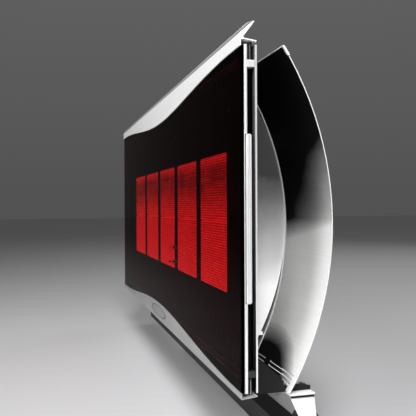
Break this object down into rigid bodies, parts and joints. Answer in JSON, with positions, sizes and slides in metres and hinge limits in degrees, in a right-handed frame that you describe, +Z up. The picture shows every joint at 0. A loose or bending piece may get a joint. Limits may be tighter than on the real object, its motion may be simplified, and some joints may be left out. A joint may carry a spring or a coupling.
{
  "type": "gas radiant patio heater",
  "caption": "Wall-mounted gas radiant heater: black glass front over ceramic burners, waved steel trims, bowed rear shells and a tilting wall bracket.",
  "frame": {"origin": "centre of the four holes of the wall plate, on the face that lies on the wall", "axes": "+Y into the wall, +X along the heater, +Z up; the glass faces -Y"},
  "size_m": [1.0066, 0.1742, 0.5255],
  "materials": {
    "black_glass": "glossy",
    "fibre_gasket": "matte",
    "bright_rail": "satin",
    "satin_stainless": "satin",
    "brushed_steel": "satin",
    "sheet_steel": "satin",
    "black_enamel": "satin",
    "ceramic": "matte",
    "white_ceramic": "satin",
    "aluminised_steel": "satin",
    "pipe_aluminium": "satin",
    "manifold_steel": "satin",
    "brass": "satin",
    "cast_valve": "matte",
    "coil_black": "matte",
    "plain_steel": "satin",
    "zinc_screw": "satin",
    "case_plastic": "matte"
  },
  "bodies": {
    "bracket": {"bracket_ears": "black_enamel", "cross_beam": "black_enamel", "wall_arms": "black_enamel", "wall_plate": "black_enamel", "pivot_bolts": "zinc_screw"},
    "head": {"bottom_rail": "sheet_steel", "bottom_trim": "satin_stainless", "burner_box_1": "aluminised_steel", "burner_box_2": "aluminised_steel", "burner_box_3": "aluminised_steel", "burner_box_4": "aluminised_steel", "burner_box_5": "aluminised_steel", "burner_frame": "black_enamel", "burner_tiles_1": "ceramic", "burner_tiles_2": "ceramic", "burner_tiles_3": "ceramic", "burner_tiles_4": "ceramic", "burner_tiles_5": "ceramic", "cable_gland": "case_plastic", "control_case": "case_plastic", "control_cover": "case_plastic", "corner_screws": "zinc_screw", "edge_bars": "bright_rail", "electrode_wires": "plain_steel", "end_bracket_left": "black_enamel", "end_bracket_right": "black_enamel", "end_cap_left": "brushed_steel", "end_cap_right": "brushed_steel", "feed_pipe": "pipe_aluminium", "gas_valve": "cast_valve", "glass_gasket": "fibre_gasket", "glass_panel": "black_glass", "housing_screws": "zinc_screw", "housing_shell": "brushed_steel", "igniter_insulators": "white_ceramic", "injectors": "brass", "inlet_fitting": "brass", "inlet_pipe": "pipe_aluminium", "lug_screws": "zinc_screw", "manifold": "manifold_steel", "manifold_arms": "sheet_steel", "outer_shell": "satin_stainless", "rail_bridges": "bright_rail", "service_plate": "sheet_steel", "shell_posts": "sheet_steel", "shell_straps": "sheet_steel", "side_rail_left": "bright_rail", "side_rail_right": "bright_rail", "solenoid_coils": "coil_black", "tile_gaskets": "fibre_gasket", "tilt_lug_left": "satin_stainless", "tilt_lug_right": "satin_stainless", "top_rail": "sheet_steel", "top_trim": "satin_stainless", "venturis": "aluminised_steel"},
    "right_knob": {"tilt_knob_right": "case_plastic"},
    "left_knob": {"tilt_knob_left": "case_plastic"},
    "plunger_1": {"plunger_1": "plain_steel"},
    "plunger_2": {"plunger_2": "plain_steel"}
  },
  "joints": [
    {"name": "head_tilt", "type": "hinge", "parent": "bracket", "child": "head", "pos_m": [0, -0.087, -0.027], "axis": [1, 0, 0], "range_deg": [0, 30]},
    {"name": "right_knob_turn", "type": "hinge", "parent": "bracket", "child": "right_knob", "pos_m": [0, -0.087, -0.027], "axis": [1, 0, 0], "range_deg": [0, 360]},
    {"name": "left_knob_turn", "type": "hinge", "parent": "bracket", "child": "left_knob", "pos_m": [0, -0.087, -0.027], "axis": [-1, 0, 0], "range_deg": [0, 360]},
    {"name": "plunger_1_travel", "type": "slide", "parent": "head", "child": "plunger_1", "axis": [1, 0, 0], "range_m": [0, 0.003], "stiffness_N_per_m": 300},
    {"name": "plunger_2_travel", "type": "slide", "parent": "head", "child": "plunger_2", "axis": [1, 0, 0], "range_m": [0, 0.003], "stiffness_N_per_m": 300}
  ]
}
